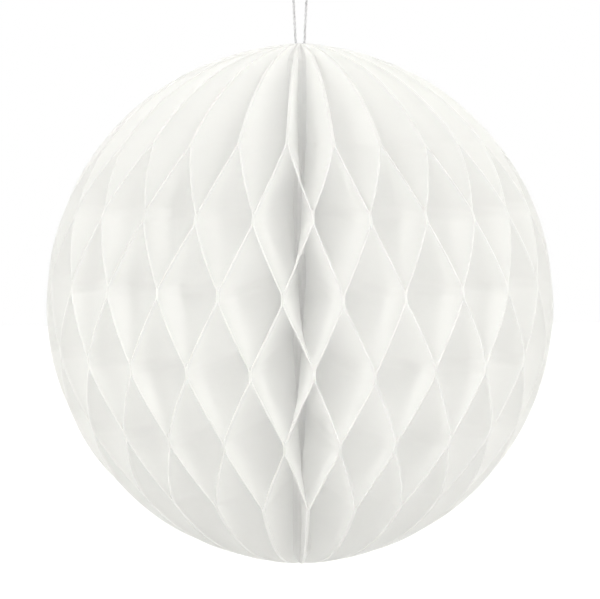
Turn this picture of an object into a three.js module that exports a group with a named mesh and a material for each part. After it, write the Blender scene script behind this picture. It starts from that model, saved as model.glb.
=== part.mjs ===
// A honeycomb paper ball on a hanging loop of string.
//
// The ball is a pack of half-disc leaves of tissue paper. Their straight edges are bound round one
// upright spine, and each leaf is glued to its two neighbours in short strips, on rows that alternate
// from one neighbour to the other. Fanned right round the spine, the leaves pull into rows of
// diamond cells. The string is knotted into the top of the spine.
//
// Millimetres, +Z up along the spine. The origin is halfway between the two poles, and the closing seam,
// where the first leaf meets the last, faces -Y.

import * as THREE from 'three';

// The ball
const BALL_DIAMETER = 200;
const BALL_HEIGHT = 203.6; // of the round, without the peaks
const TOP_PEAK = 1.2; // how far the spine's ends stand out of the round
const BOTTOM_PEAK = 3.4;
const PEAK_REACH = 40; // from the spine, where the round begins to draw into a peak

// The leaves
const CELLS_ROUND = 26; // cells in one row round the ball, each between two leaves
const PAPER_THICKNESS = 0.15;
const SPINE_GAP = 0.1; // between neighbouring leaves at the spine, where they stand closest
const SEAM_PULL = 1.84 * THREE.MathUtils.DEG2RAD; // how far the closing seam draws its neighbours in
const SEAM_REACH = 0.79; // 0 spreads that pull evenly round the ball, near 1 keeps it at the seam
const CAP_STEPS = 6; // straight rim segments from the last glue strip to the pole

// The glue strips that make the cells
const GLUE_ROWS = 6;
const GLUE_PITCH = 27; // row to row
const GLUE_STRIP_HEIGHT = 4;
const GLUE_FILM = 0.3; // between the two leaves that a strip joins

// The string and its knot
const STRING_DIAMETER = 1;
const STRING_SIDES = 8;
const STRING_STEPS = 44;
const STRING_GAP = 0.3; // between the string's two ends and the knot
const KNOT_HEIGHT = 6.4;
const KNOT_CLEARANCE = 0.3; // between the knot and the leaves round it
const KNOT_SIDES = 12;

// The string's route, as [across, above the top of the ball]: out of the knot, up one side of the
// loop, over the hook's place and down the other side into the knot again.
const STRING_ROUTE = [
  [-1.0, -3.4], [-1.4, -1.6], [-1.7, 0.2], [-1.95, 5], [-2.2, 10], [-2.45, 15], [-2.7, 20], [-2.95, 25],
  [-3.2, 30], [-3.4, 33.5], [-2.94, 35.2], [-1.7, 36.44], [0, 36.9], [1.7, 36.44], [2.94, 35.2], [3.4, 33.5],
  [3.2, 30], [2.95, 25], [2.7, 20], [2.45, 15], [2.2, 10], [1.95, 5], [1.7, 0.2], [1.4, -1.6], [1.0, -3.4],
];

// Sizes that follow from the ones above
const RADIUS = BALL_DIAMETER / 2;
const HALF_HEIGHT = BALL_HEIGHT / 2;
const LEAF_COUNT = 2 * Math.round(CELLS_ROUND);
const LAST_ROW = GLUE_ROWS - 1;
const CLOSEST_ANGLE = leafAzimuth(0) - leafAzimuth(-1);
const SPINE_RADIUS = (PAPER_THICKNESS + SPINE_GAP) / CLOSEST_ANGLE;
const TIP_LATITUDE = Math.acos(SPINE_RADIUS / RADIUS);
const TOP_HEIGHT = HALF_HEIGHT + TOP_PEAK; // above the belt, the ball's widest level
const BELT_HEIGHT = (BOTTOM_PEAK - TOP_PEAK) / 2;

// The looks
const tissue = new THREE.MeshStandardMaterial({ color: 0xf4f4f2, roughness: 0.95, metalness: 0 });
const thread = new THREE.MeshStandardMaterial({ color: 0xeeeeec, roughness: 0.9, metalness: 0 });

// A leaf's direction from the spine, as an angle from the closing seam. The leaves share the turn
// evenly, apart from a pull towards the seam that fades with the distance from it.
function leafAzimuth(leaf) {
  const evenShare = (2 * Math.PI * (leaf + 0.5)) / LEAF_COUNT;
  const pull = Math.atan2(SEAM_REACH * Math.sin(evenShare), 1 - SEAM_REACH * Math.cos(evenShare));
  return evenShare - SEAM_PULL * pull;
}

// A point of the ball's outline at a latitude: the rim's distance from the spine and its height over the
// belt. Near the spine the round draws into the peak of that pole.
function outlinePoint(latitude) {
  const radius = RADIUS * Math.cos(latitude);
  const peak = latitude > 0 ? TOP_PEAK : -BOTTOM_PEAK;
  const drawn = Math.max(0, 1 - radius / PEAK_REACH) ** 2;
  return { radius, height: HALF_HEIGHT * Math.sin(latitude) + peak * drawn };
}

// The middle height of a glue row, counted from the top.
function rowHeight(row) {
  return (LAST_ROW / 2 - row) * GLUE_PITCH;
}

// Which neighbour a leaf is glued to on a row: 1 for the next leaf round, -1 for the one before.
function gluedTowards(leaf, row) {
  return (leaf + row) % 2 === 0 ? 1 : -1;
}

// The latitude of the outline at a height over the belt, away from the peaks.
function latitudeAt(height) {
  return Math.asin(height / HALF_HEIGHT);
}

// The latitudes of the rim's corners between the top glue strip and the pole, at even steps.
function capLatitudes() {
  const stripEnd = latitudeAt(rowHeight(0) + GLUE_STRIP_HEIGHT / 2);
  const latitudes = [];
  for (let step = 1; step < CAP_STEPS; step++) {
    latitudes.push(THREE.MathUtils.lerp(stripEnd, TIP_LATITUDE, step / CAP_STEPS));
  }
  return latitudes;
}

// One leaf's rim from the bottom pole to the top one, as corners. Each names the glue row it belongs
// to, its latitude and its lean: 1 or -1 against a neighbour, 0 halfway between two glue rows.
function rimCorners(leaf) {
  const corners = [];
  for (const latitude of capLatitudes().reverse()) {
    corners.push({ row: LAST_ROW, latitude: -latitude, lean: gluedTowards(leaf, LAST_ROW) });
  }
  for (let row = LAST_ROW; row >= 0; row--) {
    const height = rowHeight(row);
    const lean = gluedTowards(leaf, row);
    if (row < LAST_ROW) {
      corners.push({ row, latitude: latitudeAt(height - GLUE_PITCH / 2), lean: 0 });
    }
    corners.push({ row, latitude: latitudeAt(height - GLUE_STRIP_HEIGHT / 2), lean });
    corners.push({ row, latitude: latitudeAt(height + GLUE_STRIP_HEIGHT / 2), lean });
  }
  for (const latitude of capLatitudes()) {
    corners.push({ row: 0, latitude, lean: gluedTowards(leaf, 0) });
  }
  return corners;
}

// One leaf as a thin closed solid. It stands in the XZ plane with its straight edge on the spine and
// its rim towards +X. The straight edge has a corner at each glue row, and the rim swings from the
// plane halfway to the next leaf to the plane halfway to the one before, so that two leaves lie face to
// face at each strip.
function leafGeometry(leaf) {
  const toNext = (leafAzimuth(leaf + 1) - leafAzimuth(leaf)) / 2;
  const toPrevious = (leafAzimuth(leaf) - leafAzimuth(leaf - 1)) / 2;
  const offGluePlane = (PAPER_THICKNESS + GLUE_FILM) / 2;
  const spineAxis = new THREE.Vector2(0, 0);
  const positions = [];
  const faces = [];

  // Each place on the leaf is two vertices, one on either face of the paper.
  function place(x, y, z) {
    positions.push(x, y + PAPER_THICKNESS / 2, z);
    positions.push(x, y - PAPER_THICKNESS / 2, z);
    return positions.length / 3 - 2;
  }
  function placeOnRim({ latitude, lean }) {
    const { radius, height } = outlinePoint(latitude);
    const angle = lean * (lean > 0 ? toNext : toPrevious);
    const rim = new THREE.Vector2(radius, -lean * offGluePlane);
    rim.rotateAround(spineAxis, angle);
    return place(rim.x, rim.y, height);
  }
  function bothFaces(a, b, c) {
    faces.push(a, b, c);
    faces.push(a + 1, c + 1, b + 1);
  }
  function edge(a, b) {
    faces.push(a, b, b + 1);
    faces.push(a, b + 1, a + 1);
  }

  const bottomTip = place(SPINE_RADIUS, 0, outlinePoint(-TIP_LATITUDE).height);
  const topTip = place(SPINE_RADIUS, 0, outlinePoint(TIP_LATITUDE).height);
  const spine = [];
  for (let row = 0; row < GLUE_ROWS; row++) {
    spine.push(place(SPINE_RADIUS, 0, rowHeight(row)));
  }
  const corners = rimCorners(leaf);
  const rim = [bottomTip, ...corners.map(placeOnRim), topTip];
  const rows = [LAST_ROW, ...corners.map((corner) => corner.row), 0];

  // The faces fan out from the straight edge to the rim, one row's corner after the other.
  for (let i = 0; i + 1 < rim.length; i++) {
    const here = spine[rows[i]];
    const above = spine[rows[i + 1]];
    bothFaces(here, rim[i + 1], rim[i]);
    if (above !== here) {
      bothFaces(here, above, rim[i + 1]);
    }
    edge(rim[i], rim[i + 1]);
  }
  const straightEdge = [topTip, ...spine, bottomTip];
  for (let i = 0; i + 1 < straightEdge.length; i++) {
    edge(straightEdge[i], straightEdge[i + 1]);
  }

  const geometry = new THREE.BufferGeometry();
  geometry.setAttribute('position', new THREE.Float32BufferAttribute(positions, 3));
  geometry.setIndex(faces);
  geometry.computeVertexNormals();
  return geometry;
}

// The leaves, fanned round the spine from the seam.
function leaves() {
  const fan = new THREE.Group();
  for (let leaf = 0; leaf < LEAF_COUNT; leaf++) {
    const mesh = new THREE.Mesh(leafGeometry(leaf), tissue);
    mesh.name = `tissue_leaf_${String(leaf + 1).padStart(2, '0')}`;
    mesh.rotation.z = leafAzimuth(leaf);
    fan.add(mesh);
  }
  fan.rotation.z = -Math.PI / 2;
  return fan;
}

// The hanging loop, one round string along its route.
function hangingString() {
  const corners = [];
  for (let side = 0; side < STRING_SIDES; side++) {
    const angle = (2 * Math.PI * side) / STRING_SIDES;
    corners.push(new THREE.Vector2(Math.cos(angle), Math.sin(angle)).multiplyScalar(STRING_DIAMETER / 2));
  }
  const section = new THREE.Shape(corners);
  const route = new THREE.CatmullRomCurve3(
    STRING_ROUTE.map(([across, above]) => new THREE.Vector3(across, 0, above)),
  );
  const geometry = new THREE.ExtrudeGeometry(section, { extrudePath: route, steps: STRING_STEPS });
  const mesh = new THREE.Mesh(geometry, thread);
  mesh.name = 'hanging_string';
  mesh.position.z = TOP_HEIGHT;
  return mesh;
}

// The knot at the string's two ends, a rounded lump that the bound edges of the leaves hold all round.
function stringKnot() {
  const radius = SPINE_RADIUS - KNOT_CLEARANCE;
  const [, stringEnd] = STRING_ROUTE[0];
  const profile = new THREE.EllipseCurve(0, 0, radius, KNOT_HEIGHT / 2, -Math.PI / 2, Math.PI / 2);
  const points = profile.getPoints(KNOT_SIDES / 2);
  points[0].x = 0;
  points[points.length - 1].x = 0;
  const mesh = new THREE.Mesh(new THREE.LatheGeometry(points, KNOT_SIDES), thread);
  mesh.name = 'string_knot';
  mesh.rotation.x = Math.PI / 2;
  mesh.position.z = TOP_HEIGHT + stringEnd - STRING_GAP - KNOT_HEIGHT / 2;
  return mesh;
}

const ball = new THREE.Group();
ball.add(leaves(), hangingString(), stringKnot());
ball.position.z = BELT_HEIGHT;

export default ball;
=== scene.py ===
# %% [markdown]
# # A honeycomb paper ball
# A honeycomb ball is a pack of half-disc leaves of tissue paper, bound along their straight edges and
# glued to each other in short strips. Fanned right round, the leaves pull open into rows of diamond
# cells. This lesson dresses the plain solids of such a ball: it twists a string for the ball to hang by,
# makes every leaf as one soft sheet of paper, and lights it as a product photo does, in soft white.
# Everything is in metres. +Z runs up the spine, and the closing seam faces -Y.

import math

import bpy
import numpy as np
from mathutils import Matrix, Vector


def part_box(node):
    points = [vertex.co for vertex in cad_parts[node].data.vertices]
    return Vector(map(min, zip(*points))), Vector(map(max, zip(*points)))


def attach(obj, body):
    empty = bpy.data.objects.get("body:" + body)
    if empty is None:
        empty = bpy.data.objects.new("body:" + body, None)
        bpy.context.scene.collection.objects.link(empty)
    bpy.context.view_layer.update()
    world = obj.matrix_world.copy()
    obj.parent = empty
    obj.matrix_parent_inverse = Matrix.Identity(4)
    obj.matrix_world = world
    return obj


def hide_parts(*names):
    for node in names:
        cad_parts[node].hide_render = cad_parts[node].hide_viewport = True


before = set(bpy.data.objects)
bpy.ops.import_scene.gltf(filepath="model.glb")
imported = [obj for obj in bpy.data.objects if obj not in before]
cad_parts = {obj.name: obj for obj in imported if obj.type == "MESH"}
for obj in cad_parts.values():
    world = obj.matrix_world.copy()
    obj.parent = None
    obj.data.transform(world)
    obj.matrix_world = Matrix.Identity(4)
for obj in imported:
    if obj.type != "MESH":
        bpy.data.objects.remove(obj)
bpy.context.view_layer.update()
scene = bpy.context.scene
leaf_names = sorted(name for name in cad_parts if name.startswith("tissue_leaf_"))
LEAF_COUNT = len(leaf_names)
print(f"{LEAF_COUNT} leaves, and {len(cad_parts) - LEAF_COUNT} other solids")

# %% [markdown]
# ## The camera
# The photo looks a little down on the ball, so the rows of cells bend and the top shows as a point. A
# distance of three and a half ball widths and a rise of seven degrees give the glue points the places that
# they have in the photo. The lens could be shifted to frame the ball, but the camera only has to aim at a
# point just above the ball's belt, its widest level, and then other views need no correction.

# %% Place the camera
BALL_RADIUS = 0.100
BELT_HEIGHT = 0.0011
CAMERA_DISTANCE = 0.700
CAMERA_RISE = math.radians(7.03)
CAMERA_TURN = math.radians(-2.61)
FOCAL_LENGTH_PX = 1755.6
FRAME_WIDTH_PX = 600
AIM_ABOVE = 0.0018


def outwards(azimuth):
    """The level direction away from the spine at an angle from the seam: (sin a, -cos a, 0)."""
    return np.stack([np.sin(azimuth), -np.cos(azimuth), np.zeros_like(azimuth)], axis=-1)


def sideways(azimuth):
    """The level direction across that one, towards growing angles: (cos a, sin a, 0)."""
    return np.stack([np.cos(azimuth), np.sin(azimuth), np.zeros_like(azimuth)], axis=-1)


UP = np.array([0.0, 0.0, 1.0])
turn = np.array(CAMERA_TURN)
eye = BELT_HEIGHT * UP + CAMERA_DISTANCE * (math.cos(CAMERA_RISE) * outwards(turn) + math.sin(CAMERA_RISE) * UP)
aim = (BELT_HEIGHT + AIM_ABOVE) * UP

camera = bpy.data.objects.new("camera", bpy.data.cameras.new("camera"))
camera.data.sensor_width = 36
camera.data.lens = camera.data.sensor_width * FOCAL_LENGTH_PX / FRAME_WIDTH_PX
camera.location = eye
camera.rotation_euler = Vector(aim - eye).to_track_quat("-Z", "Y").to_euler()
scene.collection.objects.link(camera)
scene.camera = camera
print(f"a lens of {camera.data.lens:.1f} mm, {CAMERA_DISTANCE * 1000:.0f} mm from the centre")

# %% [markdown]
# ## From rings to a mesh
# Every piece here is a closed skin made of rings: round the string, round the knot, and round the thin
# section of a leaf at each height. One helper joins each ring to the next and shuts both ends. It also
# lays the UV map, with the way round a ring as U and the way along as V, so that a finish can follow the
# surface. Corners sharper than a chosen angle stay crisp, or the cut edge of the paper would tint the
# face beside it.

# %% Rings to a mesh
CRISP_CORNER = math.radians(50)


def ring_mesh(name, rings, along):
    """A closed mesh from points (rings, sides, 3), each ring anticlockwise as seen from the next one's
    side. Face (i, k) joins points k and k + 1 of rings i and i + 1, and each end ring is one face. The UV
    is (k / sides, along[i])."""
    count, sides = rings.shape[:2]
    here = np.arange(count * sides).reshape(count, sides)
    beside = np.roll(here, -1, axis=1)
    walls = np.stack([here[:-1], beside[:-1], beside[1:], here[1:]], axis=-1).reshape(-1, 4)
    mesh = bpy.data.meshes.new(name)
    faces = walls.tolist() + [here[0, ::-1].tolist(), here[-1].tolist()]
    mesh.from_pydata(rings.reshape(-1, 3).tolist(), [], faces)

    left, low = np.meshgrid(np.arange(sides) / sides, along[:-1])
    right, high = np.meshgrid((np.arange(sides) + 1) / sides, along[1:])
    corners = np.stack([left, low, right, low, right, high, left, high], axis=-1).reshape(-1, 2)
    ends = np.concatenate([np.full((sides, 2), along[0]), np.full((sides, 2), along[-1])])
    mesh.uv_layers.new(name="UVMap").data.foreach_set("uv", np.concatenate([corners, ends]).ravel())
    mesh.shade_smooth()
    mesh.set_sharp_from_angle(angle=CRISP_CORNER)
    return mesh


def place(mesh, material, slot, *nodes):
    """Makes a mesh a piece of the ball, in place of the solids of these names."""
    mesh.materials.append(material)
    piece = bpy.data.objects.new(mesh.name, mesh)
    scene.collection.objects.link(piece)
    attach(piece, "root")
    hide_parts(*nodes)
    return piece


# %% [markdown]
# ## The string
# The ball hangs by a loop of white string, two plies twisted together. The route has the same points as
# the solid, joined by one smooth cubic. Both ends go down into the knot at the top of the spine.

# %% Lay the string's route
BALL_TOP = 0.1041
STRING_DIAMETER = 0.001
STRING_STEPS = 640
ROUTE_MM = np.array([  # across, and above the top of the ball
    [-1.0, -3.4], [-1.4, -1.6], [-1.7, 0.2], [-1.95, 5], [-2.2, 10], [-2.45, 15], [-2.7, 20], [-2.95, 25],
    [-3.2, 30], [-3.4, 33.5], [-2.94, 35.2], [-1.7, 36.44], [0, 36.9], [1.7, 36.44], [2.94, 35.2], [3.4, 33.5],
    [3.2, 30], [2.95, 25], [2.7, 20], [2.45, 15], [2.2, 10], [1.95, 5], [1.7, 0.2], [1.4, -1.6], [1.0, -3.4],
])


def travelled(line):
    """The distance along a line of points, from its first one."""
    return np.concatenate([[0], np.cumsum(np.linalg.norm(np.diff(line, axis=0), axis=1))])


def smooth_line(points, steps):
    """A cubic through the points: between two of them, p = h00 p0 + h10 d t0 + h01 p1 + h11 d t1, where d
    is their distance and t0 and t1 are slopes taken from the neighbours on both sides."""
    distance = travelled(points)
    slope = np.gradient(points, distance, axis=0)
    along = np.linspace(0, distance[-1], steps)
    first = np.clip(np.searchsorted(distance, along, side="right") - 1, 0, len(points) - 2)
    span = (distance[first + 1] - distance[first])[:, None]
    t = (along - distance[first])[:, None] / span
    places = (1 + 2 * t) * (1 - t) ** 2 * points[first] + t * t * (3 - 2 * t) * points[first + 1]
    return places + span * (t * (1 - t) ** 2 * slope[first] + t * t * (t - 1) * slope[first + 1])


across, above = ROUTE_MM.T / 1000
route = np.stack([across, np.zeros_like(across), BALL_TOP + above], axis=1)
string_line = smooth_line(route, STRING_STEPS)
string_along = travelled(string_line)
print(f"the string is {string_along[-1] * 1000:.1f} mm long")

# %% [markdown]
# ### The string's finish
# Cotton string is soft and rough, and looks greyish against the white: its grey colour is painted shade on a
# white string. Each ply shows fine fibres that run along it, so the pattern follows the UV map: many fibres
# round the string, long ones along it. The colour is darker where the relief is low, as painted shade between
# the fibres.

# %% Spin the cotton
# painted shade: both cotton colours are grey for the shade of a white string, the darker one where the fibres'
# relief is low
COTTON_PAINTED_SHADE = (0.60, 0.60, 0.62, 1)
COTTON_FIBRE_GREY = (0.78, 0.78, 0.81, 1)
FIBRES_ROUND = 14
FIBRES_PER_METRE = 900
COTTON_RELIEF = 0.00006


def cotton_finish():
    """White cotton painted grey for its shade: fine fibres along the string, with shade painted darker between
    them.
    """
    material = bpy.data.materials.new("white_cotton")
    material.use_nodes = True
    nodes, links = material.node_tree.nodes, material.node_tree.links
    cotton = nodes["Principled BSDF"]
    cotton.inputs["Roughness"].default_value = 0.85
    cotton.inputs["Sheen Weight"].default_value = 0.2

    place_on = nodes.new("ShaderNodeUVMap")
    place_on.uv_map = "UVMap"
    stretch = nodes.new("ShaderNodeMapping")
    stretch.inputs["Scale"].default_value = (FIBRES_ROUND, FIBRES_PER_METRE, 1)
    links.new(place_on.outputs["UV"], stretch.inputs["Vector"])
    fibres = nodes.new("ShaderNodeTexNoise")
    fibres.inputs["Scale"].default_value = 1
    fibres.inputs["Detail"].default_value = 3
    links.new(stretch.outputs["Vector"], fibres.inputs["Vector"])
    # painted shade: the darker colour goes where the fibre relief is low, between the fibres
    colour = nodes.new("ShaderNodeValToRGB")
    colour.color_ramp.elements[0].position = 0.35
    colour.color_ramp.elements[0].color = COTTON_PAINTED_SHADE
    colour.color_ramp.elements[1].position = 0.62
    colour.color_ramp.elements[1].color = COTTON_FIBRE_GREY
    links.new(fibres.outputs["Fac"], colour.inputs["Fac"])
    links.new(colour.outputs["Color"], cotton.inputs["Base Color"])
    relief = nodes.new("ShaderNodeBump")
    relief.inputs["Strength"].default_value = 0.5
    relief.inputs["Distance"].default_value = COTTON_RELIEF
    links.new(fibres.outputs["Fac"], relief.inputs["Height"])
    links.new(relief.outputs["Normal"], cotton.inputs["Normal"])
    return material


white_cotton = cotton_finish()

# %% [markdown]
# ### Twisting it
# A curve with a round bevel would give a smooth wire. Two lobes carried along the route, turning as they
# go, give the rope-like edge that shows even on a strand two pixels wide.

# %% Twist the string
TWIST_LENGTH = 0.0044
PLY_SHARE = 0.30
STRING_SIDES = 20


def twisted_rings(line, along):
    """Two round plies side by side, turning as they go. At an angle a from the line between the plies, the
    outline is r = b |cos a| + sqrt(c^2 - b^2 sin^2 a), with b the plies' offset and c = 1 - b their radius,
    as shares of the string's. The line lies in the XZ plane, so +Y is always across it."""
    forward = np.gradient(line, axis=0)
    forward /= np.linalg.norm(forward, axis=1, keepdims=True)
    level = np.array([0.0, 1.0, 0.0])
    other = np.cross(level, forward)
    angle = np.linspace(0, 2 * math.pi, STRING_SIDES, endpoint=False)
    outline = np.sqrt((1 - PLY_SHARE) ** 2 - (PLY_SHARE * np.sin(angle)) ** 2)
    outline = PLY_SHARE * np.abs(np.cos(angle)) + outline
    turned = angle + 2 * math.pi * along[:, None] / TWIST_LENGTH
    round_it = np.cos(turned)[..., None] * other[:, None] + np.sin(turned)[..., None] * level
    return line[:, None] + STRING_DIAMETER / 2 * outline[:, None] * round_it


string_mesh = ring_mesh("string_loop", twisted_rings(string_line, string_along), string_along)
string_loop = place(string_mesh, white_cotton, "string", "hanging_string")
print(f"{len(string_mesh.polygons)} faces on the string")

# %% [markdown]
# ## The knot
# The string's two ends are tied into a lump that the bound edges of the leaves hold all round. It hardly
# shows. An egg shape with slanting ridges, like turns of string pulled tight, is enough for it.

# %% Tie the knot
KNOT_TURNS = 4
KNOT_SLANT = 3
KNOT_RIDGE = 0.00025
KNOT_RINGS = 33
KNOT_SIDES = 48
KNOT_END = 0.98  # of half its height, where a flat face shuts it
knot_low, knot_high = (np.array(corner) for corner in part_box("string_knot"))
knot_size = knot_high - knot_low


def knot_rings():
    """An egg with n slanting ridges of height d: the radius at height h (-1 to 1) and angle a is
    sqrt(1 - h^2) (R - d + d |sin(n (a + s h) / 2)|), where R is the egg's own and s is the slant."""
    levels = np.linspace(-KNOT_END, KNOT_END, KNOT_RINGS)
    angles = np.linspace(0, 2 * math.pi, KNOT_SIDES, endpoint=False)
    h, angle = np.meshgrid(levels, angles, indexing="ij")
    ridge = KNOT_RIDGE * np.abs(np.sin(KNOT_TURNS * (angle + KNOT_SLANT * h) / 2))
    radius = np.sqrt(1 - h * h) * (knot_size[0] / 2 - KNOT_RIDGE + ridge)
    middle = (knot_low + knot_high) / 2
    upwards = h * knot_size[2] / 2
    return middle + np.stack([radius * np.cos(angle), radius * np.sin(angle), upwards], axis=-1)


knot_mesh = ring_mesh("string_knot_lump", knot_rings(), np.linspace(0, knot_size[2], KNOT_RINGS))
knot = place(knot_mesh, white_cotton, "string", "string_knot")
print(f"the knot is {knot_size[2] * 1000:.1f} mm high")

# %% [markdown]
# ## How the leaves stand
# The leaves share the full turn almost evenly, but the closing seam at the front is pulled together, and
# its neighbours with it. On each row a leaf is glued to one neighbour, on the next row to the other one,
# so its rim swings from side to side. The glue was laid on the flat pack by machine, and the ball was
# opened by hand, so the glue points wander a little. A table for the whole ball, with a line for each pair
# of neighbours and a column for each row, holds them, so that two leaves that share a point agree.

# %% Fan out the leaves
SEAM_PULL = math.radians(1.84)
SEAM_REACH = 0.79
GLUE_ROWS = 6
GLUE_PITCH = 0.027
GLUE_STRIP = 0.004
SPINE_RADIUS = 0.00235
GLUE_WANDER = math.radians(0.22)
HEIGHT_WANDER = 0.0004
WANDER_SEED = 28


def leaf_azimuth(leaf):
    """An even share of the turn, less a pull towards the seam: e - p atan2(r sin e, 1 - r cos e)."""
    even = 2 * math.pi * (leaf + 0.5) / LEAF_COUNT
    return even - SEAM_PULL * np.arctan2(SEAM_REACH * np.sin(even), 1 - SEAM_REACH * np.cos(even))


chance = np.random.default_rng(WANDER_SEED)
azimuths = leaf_azimuth(np.arange(LEAF_COUNT))
glue_azimuth = (azimuths + leaf_azimuth(np.arange(LEAF_COUNT) + 1))[:, None] / 2
glue_azimuth = glue_azimuth + chance.normal(0, GLUE_WANDER, (LEAF_COUNT, GLUE_ROWS))
glue_height = BELT_HEIGHT + (np.arange(GLUE_ROWS) - (GLUE_ROWS - 1) / 2) * GLUE_PITCH
glue_height = glue_height + chance.normal(0, HEIGHT_WANDER, (LEAF_COUNT, GLUE_ROWS))
steps_round = np.degrees(np.diff(azimuths))
print(f"leaves {steps_round.min():.2f} to {steps_round.max():.2f} degrees apart")

# %% [markdown]
# ## One leaf of tissue
# A leaf is a ruled sheet: at every height a straight line runs from the bound edge to the rim. The rim
# keeps to the glue plane along a strip, and crosses over to the other neighbour between two strips.
# Averaging that zigzag over a few millimetres rounds the folds as soft paper does. Above the top row and
# below the bottom one, the paired leaves stay side by side up to the pole. The cut rim is frayed, so it is
# made thicker than the sheet, most of all where it is free. Along the spine, the glue of the binding fills
# the gaps between the leaves for about a finger's width.

# %% Shape a leaf
PAPER_THICKNESS = 0.00015
GLUED_RIM = 0.0005
FREE_RIM = 0.0007
RIM_DEPTHS = np.array([0.0010, 0.0005, 0.0])
RIM_FULLNESS = [0.0, 1.0, 0.8]  # at those depths, as shares of the rim's extra thickness
MOST_RIM = [0.3, 0.15, 0]  # near the poles, as shares of the leaf's width
PAIR_GAP = 0.00004
FOLD_ROUNDING = 0.0016
FOLD_SAMPLES = 13
LEAF_STEPS = 420
ACROSS_STEPS = 6
BOUND_MARGIN = 0.014
BOUND_END = 0.0004
MOST_BOUND = [0, 0.45, 0.5]  # near the poles, as shares of the leaf's width
BOUND_GAP = 0.00001
BALL_HALF_HEIGHT = 0.1018
TOP_PEAK = 0.0012
BOTTOM_PEAK = 0.0034
PEAK_REACH = 0.040
TIP_WIDTH = 0.0004

tip_latitude = math.acos((SPINE_RADIUS + TIP_WIDTH) / BALL_RADIUS)
latitude = np.linspace(-tip_latitude, tip_latitude, LEAF_STEPS + 1)
rim_radius = BALL_RADIUS * np.cos(latitude)
drawn_out = np.where(latitude > 0, TOP_PEAK, -BOTTOM_PEAK) * np.maximum(0, 1 - rim_radius / PEAK_REACH) ** 2
leaf_heights = BELT_HEIGHT + BALL_HALF_HEIGHT * np.sin(latitude) + drawn_out

leaf_width = (rim_radius - SPINE_RADIUS)[:, None]
from_spine = np.minimum(np.array([0, BOUND_MARGIN, BOUND_MARGIN + BOUND_END]) / leaf_width, MOST_BOUND)
from_rim = np.minimum(RIM_DEPTHS / leaf_width, MOST_RIM)
between = np.linspace(0, 1, ACROSS_STEPS)[1:-1]
between = from_spine[:, -1:] + between * (1 - from_rim[:, :1] - from_spine[:, -1:])
across_leaf = np.concatenate([from_spine, between, 1 - from_rim], axis=1)
at_rim = np.array([0.0] * (from_spine.shape[1] + between.shape[1]) + RIM_FULLNESS)


def rounded(heights, corner_heights, corner_values):
    """Straight lines through the corners, averaged over a window of the fold's rounding."""
    window = np.linspace(-0.5, 0.5, FOLD_SAMPLES) * FOLD_ROUNDING
    return np.interp(heights[:, None] + window, corner_heights, corner_values).mean(axis=1)


def leaf_middle(leaf):
    """The middle of the paper at each height: spine + s (rim - spine), with s from 0 to 1. It comes with
    the rim's swing, from 1 against the next leaf to -1 against the one before."""
    rows = np.arange(GLUE_ROWS)
    towards_next = (leaf + rows) % 2 == 1
    pair = np.where(towards_next, leaf, (leaf - 1) % LEAF_COUNT)
    azimuth = glue_azimuth[pair, rows] - np.where(~towards_next & (leaf == 0), 2 * math.pi, 0)
    corner_heights = (glue_height[pair, rows][:, None] + np.array([-0.5, 0.5]) * GLUE_STRIP).ravel()

    azimuth = rounded(leaf_heights, corner_heights, np.repeat(azimuth, 2))
    swing = rounded(leaf_heights, corner_heights, np.repeat(np.where(towards_next, 1, -1), 2))
    off_plane = -swing[:, None] * (GLUED_RIM + PAIR_GAP) / 2
    rim = rim_radius[:, None] * outwards(azimuth) + off_plane * sideways(azimuth)
    spine = SPINE_RADIUS * outwards(azimuths[leaf])
    return spine + across_leaf[..., None] * (rim[:, None] - spine) + leaf_heights[:, None, None] * UP, swing


def leaf_rings(leaf):
    """The ring round the leaf's section at each height: its far face from the rim to the spine, then its
    near face back to the rim. The faces lie half the thickness either side of the middle, and the cut rim is
    thicker, most of all where it is free. In the bound margin glue fills the gap, so there the faces lie
    halfway to the neighbour's middle."""
    middle, swing = leaf_middle(leaf)
    rim_thickness = FREE_RIM + (GLUED_RIM - FREE_RIM) * np.abs(swing)[:, None]
    thickness = PAPER_THICKNESS + at_rim * (rim_thickness - PAPER_THICKNESS)
    half = thickness[..., None] / 2 * sideways(azimuths[leaf])
    faces = []
    for side, neighbour in ((1, leaf + 1), (-1, leaf - 1)):
        face = middle + side * half
        halfway = (middle + leaf_middle(neighbour % LEAF_COUNT)[0]) / 2
        glued = halfway - side * BOUND_GAP * sideways(azimuths[leaf])
        face[:, :2] = glued[:, :2]
        faces.append(face)
    return np.concatenate([faces[0][:, ::-1], faces[1]], axis=1)


rim_along = travelled(np.stack([rim_radius, leaf_heights], axis=1))
face_height = rim_along[-1] / LEAF_STEPS
print(f"a leaf has {LEAF_STEPS * len(at_rim) * 2} faces, {face_height * 1000:.2f} mm high at the rim")

# %% [markdown]
# ## Tissue paper
# Tissue is a loose felt of fibres, so thin that about a fifth of the light goes through. That lights the
# cells from inside and leaves only soft greys in their depths. The sheet is a rough surface mixed with a
# translucent one. A subsurface shader could do the same, but slower and with more grain. Light that has come
# in through one face of a leaf leaves by the other one freely, or the paper would turn it back twice. Clouds
# of denser fibre and a fine crêpe relief keep it from looking like plastic.

# %% Mix the tissue
TISSUE_WHITE = (0.9965, 0.9965, 0.9965, 1)
TISSUE_CLOUD = (0.9945, 0.9945, 0.9945, 1)
LET_THROUGH = 0.2
CLOUDS_PER_METRE = 160
CREPE_PER_METRE = 900
CREPE_RELIEF = 0.0002


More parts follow.
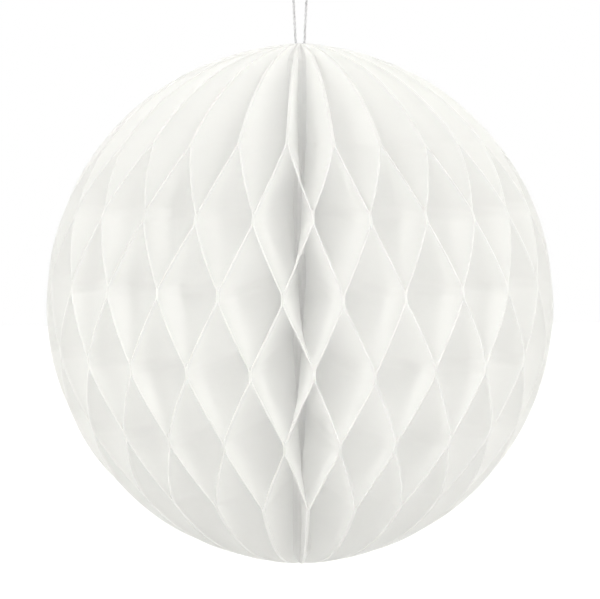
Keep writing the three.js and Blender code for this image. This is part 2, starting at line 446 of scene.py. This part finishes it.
def tissue_finish():
    """White tissue: cloudy colour, a fifth of it let through, with a fine relief of fibres. Seen from inside
    the paper, its faces are clear."""
    material = bpy.data.materials.new("white_tissue")
    material.use_nodes = True
    nodes, links = material.node_tree.nodes, material.node_tree.links
    sheet = nodes["Principled BSDF"]
    sheet.inputs["Roughness"].default_value = 0.9
    sheet.inputs["Specular IOR Level"].default_value = 0.15
    through = nodes.new("ShaderNodeBsdfTranslucent")
    both = nodes.new("ShaderNodeMixShader")
    both.inputs["Fac"].default_value = LET_THROUGH
    inside = nodes.new("ShaderNodeNewGeometry")
    onward = nodes.new("ShaderNodeBsdfTransparent")
    choice = nodes.new("ShaderNodeMixShader")

    on_ball = nodes.new("ShaderNodeTexCoord")
    clouds = nodes.new("ShaderNodeTexNoise")
    clouds.inputs["Scale"].default_value = CLOUDS_PER_METRE
    clouds.inputs["Detail"].default_value = 4
    links.new(on_ball.outputs["Object"], clouds.inputs["Vector"])
    colour = nodes.new("ShaderNodeValToRGB")
    colour.color_ramp.elements[0].position = 0.3
    colour.color_ramp.elements[0].color = TISSUE_CLOUD
    colour.color_ramp.elements[1].position = 0.7
    colour.color_ramp.elements[1].color = TISSUE_WHITE
    links.new(clouds.outputs["Fac"], colour.inputs["Fac"])
    fibres = nodes.new("ShaderNodeTexNoise")
    fibres.inputs["Scale"].default_value = CREPE_PER_METRE
    fibres.inputs["Detail"].default_value = 5
    links.new(on_ball.outputs["Object"], fibres.inputs["Vector"])
    relief = nodes.new("ShaderNodeBump")
    relief.inputs["Strength"].default_value = 0.15
    relief.inputs["Distance"].default_value = CREPE_RELIEF
    links.new(fibres.outputs["Fac"], relief.inputs["Height"])
    for shader, name in ((sheet, "Base Color"), (through, "Color")):
        links.new(colour.outputs["Color"], shader.inputs[name])
        links.new(relief.outputs["Normal"], shader.inputs["Normal"])
    links.new(sheet.outputs["BSDF"], both.inputs[1])
    links.new(through.outputs["BSDF"], both.inputs[2])
    links.new(inside.outputs["Backfacing"], choice.inputs["Fac"])
    links.new(both.outputs["Shader"], choice.inputs[1])
    links.new(onward.outputs["BSDF"], choice.inputs[2])
    links.new(choice.outputs["Shader"], nodes["Material Output"].inputs["Surface"])
    return material


white_tissue = tissue_finish()

# %% [markdown]
# ## All the leaves
# Each leaf is a half disc cut from flat tissue, held stretched between the spine and its glue strips.

# %% Make the leaves
for leaf, node in enumerate(leaf_names):
    leaf_mesh = ring_mesh(node.replace("tissue", "paper"), leaf_rings(leaf), rim_along)
    paper_leaf = place(leaf_mesh, white_tissue, "tissue", node)

# %% [markdown]
# ## The sky
# The photo is a cut-out on white. The bright bands along the rims show two soft boxes, high up and about 30
# degrees to either side of the camera: a band ends where the next leaf cuts off the box, and it is broader
# on the walls that face up. The bright edges of the ball show a panel on either side, and the soft greys
# show a fill above the camera, low cards beside it and some light from behind. Lamps would do, but the light
# passes from leaf to leaf many times, and a sky with the panels painted into it is quicker to follow that
# far. The camera itself sees plain white.

# %% Paint the sky
WARM_WHITE = (1.005, 1.0, 0.956, 1)
PLAIN_WHITE = (1, 1, 1, 1)
WALLS = 0.05
PANELS = [  # from and to in degrees round from the camera, from and to in height, strength
    (25, 42, 0.26, 0.82, 5.2),  # the soft boxes
    (-9, 25, 0.57, 0.82, 0.9),  # the fill above the camera
    (25, 72, -2, 0.26, 0.95),  # the low cards
    (72, 110, -2, 0.82, 1.75),  # the sides
    (110, 189, -2, 0.82, 0.95),  # behind the ball
]
AZIMUTH_BLUR = 3
HEIGHT_BLUR = 0.04


def set_up(nodes, links, kind, inputs, **settings):
    """A node with its settings, and with a value or a link for each named or numbered input."""
    node = nodes.new(kind)
    for name, value in settings.items():
        setattr(node, name, value)
    for name, value in inputs.items():
        if isinstance(value, bpy.types.NodeSocket):
            links.new(value, node.inputs[name])
        else:
            node.inputs[name].default_value = value
    return node


def seen_plainly(nodes, links):
    """1 for rays from the camera, mirrors and glass, 0 for the light that paper scatters to either side."""
    ray = nodes.new("ShaderNodeLightPath").outputs
    seen = ray["Is Camera Ray"]
    for kind in ("Is Glossy Ray", "Is Transmission Ray"):
        seen = set_up(nodes, links, "ShaderNodeMath", {0: seen, 1: ray[kind]}, operation="ADD").outputs[0]
    taken = {0: seen, 1: ray["Is Diffuse Ray"]}
    return set_up(nodes, links, "ShaderNodeMath", taken, operation="SUBTRACT", use_clamp=True).outputs[0]


def painted_sky():
    """White all round. Each panel adds its strength times a window over the angle round from the camera,
    acos c, and a window over the height, the sine of the rise. A window is a smooth step up times a smooth
    step down."""
    sky = bpy.data.worlds.new("white_sky")
    sky.use_nodes = True
    sky.cycles.sampling_method = "NONE"
    nodes, links = sky.node_tree.nodes, sky.node_tree.links

    def calc(operation, *values):
        return set_up(nodes, links, "ShaderNodeMath", dict(enumerate(values)), operation=operation).outputs[0]

    def vector(operation, *values):
        return set_up(nodes, links, "ShaderNodeVectorMath", dict(enumerate(values)), operation=operation).outputs

    def step(value, middle, blur, before, after):
        ends = {"From Min": middle - blur, "From Max": middle + blur, "To Min": before, "To Max": after}
        smooth = {"interpolation_type": "SMOOTHSTEP"}
        return set_up(nodes, links, "ShaderNodeMapRange", {"Value": value, **ends}, **smooth).outputs["Result"]

    def window(value, low, high, blur):
        return calc("MULTIPLY", step(value, low, blur, 0, 1), step(value, high, blur, 1, 0))

    direction = nodes.new("ShaderNodeTexCoord").outputs["Generated"]
    level = vector("NORMALIZE", vector("MULTIPLY", direction, (1, 1, 0))["Vector"])["Vector"]
    c = vector("DOT_PRODUCT", level, outwards(turn))["Value"]
    azimuth = calc("MULTIPLY", calc("ARCCOSINE", c), math.degrees(1))
    height = set_up(nodes, links, "ShaderNodeSeparateXYZ", {0: direction}).outputs["Z"]
    light = WALLS
    for near_edge, far_edge, low, high, strength in PANELS:
        round_it = window(azimuth, near_edge, far_edge, AZIMUTH_BLUR)
        panel = calc("MULTIPLY", round_it, window(height, low, high, HEIGHT_BLUR))
        light = calc("MULTIPLY_ADD", panel, strength, light)
    plain = seen_plainly(nodes, links)
    shown = set_up(nodes, links, "ShaderNodeMix", {"Factor": plain, "A": light, "B": 1}).outputs["Result"]
    colours = {"Fac": plain, "Color1": WARM_WHITE, "Color2": PLAIN_WHITE}
    colour = set_up(nodes, links, "ShaderNodeMixRGB", colours).outputs["Color"]
    links.new(shown, nodes["Background"].inputs["Strength"])
    links.new(colour, nodes["Background"].inputs["Color"])
    return sky


scene.world = painted_sky()
strengths = [panel[-1] for panel in PANELS]
print(f"{len(PANELS)} panels, {min(strengths)} to {max(strengths)} times as bright as plain white")

# %% [markdown]
# ## The floor
# A pale floor well below the hanging ball sends a little less light back up, and that shades the
# undersides. To the camera it is lifted to white, and keeps a soft shadow.

# %% Lay the floor
FLOOR_DROP = 0.55
FLOOR_HALF = 4.0
FLOOR_PALE = (0.845, 0.845, 0.845, 1)
FLOOR_LIFT = 0.3
LONGEST_PATH = 144


def floor_finish():
    """Pale matt floor, lifted to white where it is seen straight."""
    material = bpy.data.materials.new("pale_floor")
    material.use_nodes = True
    nodes, links = material.node_tree.nodes, material.node_tree.links
    nodes.clear()
    pale = set_up(nodes, links, "ShaderNodeBsdfDiffuse", {"Color": FLOOR_PALE})
    white = set_up(nodes, links, "ShaderNodeBsdfDiffuse", {"Color": PLAIN_WHITE})
    lift = set_up(nodes, links, "ShaderNodeEmission", {"Strength": FLOOR_LIFT})
    lifted = set_up(nodes, links, "ShaderNodeAddShader", {0: white.outputs["BSDF"], 1: lift.outputs["Emission"]})
    shown = {"Fac": seen_plainly(nodes, links), 1: pale.outputs["BSDF"], 2: lifted.outputs["Shader"]}
    choice = set_up(nodes, links, "ShaderNodeMixShader", shown)
    set_up(nodes, links, "ShaderNodeOutputMaterial", {"Surface": choice.outputs["Shader"]})
    material.cycles.emission_sampling = "NONE"
    return material


floor_mesh = bpy.data.meshes.new("floor")
floor_corners = np.array([[-1, -1, 0], [1, -1, 0], [1, 1, 0], [-1, 1, 0]]) * FLOOR_HALF
floor_mesh.from_pydata((floor_corners - FLOOR_DROP * UP).tolist(), [], [[0, 1, 2, 3]])
floor_mesh.materials.append(floor_finish())
floor = bpy.data.objects.new("floor", floor_mesh)
scene.collection.objects.link(floor)
for kind in ("max", "diffuse", "transmission"):
    setattr(scene.cycles, f"{kind}_bounces", LONGEST_PATH)
scene.cycles.transparent_max_bounces = LONGEST_PATH
print(f"the floor lies {FLOOR_DROP - BALL_HALF_HEIGHT:.2f} m under the ball")

# %% Finish
scene.view_settings.view_transform = "Standard"
